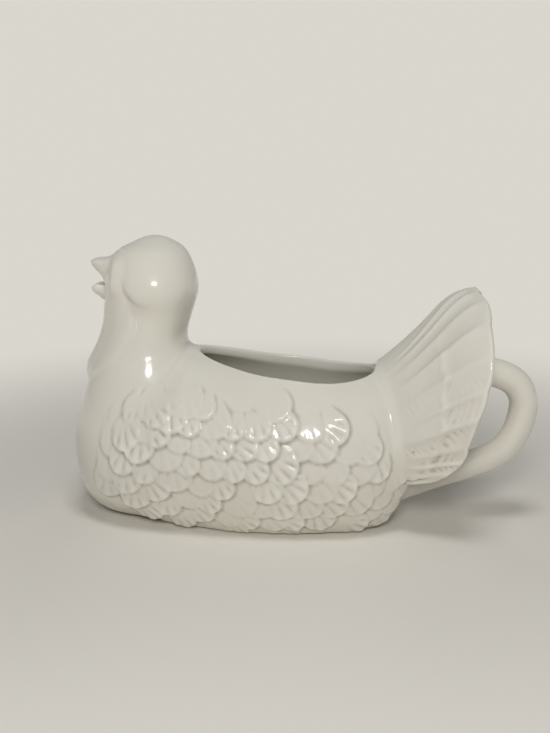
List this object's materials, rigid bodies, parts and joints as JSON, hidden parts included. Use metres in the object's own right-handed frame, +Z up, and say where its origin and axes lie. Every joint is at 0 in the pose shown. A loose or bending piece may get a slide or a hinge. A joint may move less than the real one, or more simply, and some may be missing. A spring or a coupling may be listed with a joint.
{
  "type": "turkey gravy boat",
  "caption": "Turkey-shaped ceramic gravy boat with an open back, a fan tail, a round strap handle and a beak that pours.",
  "frame": {"origin": "middle of the boat's overall length and breadth, on the table it stands on", "axes": "+X toward the tail and handle, -X toward the beak, +Z up, Y across the boat"},
  "size_m": [0.2508, 0.0964, 0.1532],
  "materials": {
    "body_glaze": "glossy warm off-white glaze",
    "head_glaze": "glossy warm off-white glaze",
    "bill_glaze": "glossy warm off-white glaze",
    "tail_glaze": "glossy warm off-white glaze"
  },
  "bodies": {
    "root": {"body_shell": "body_glaze", "head_shell": "head_glaze", "wattle": "head_glaze", "upper_bill": "bill_glaze", "lower_bill": "bill_glaze", "tail_fan": "tail_glaze", "handle": "tail_glaze"}
  },
  "joints": []
}
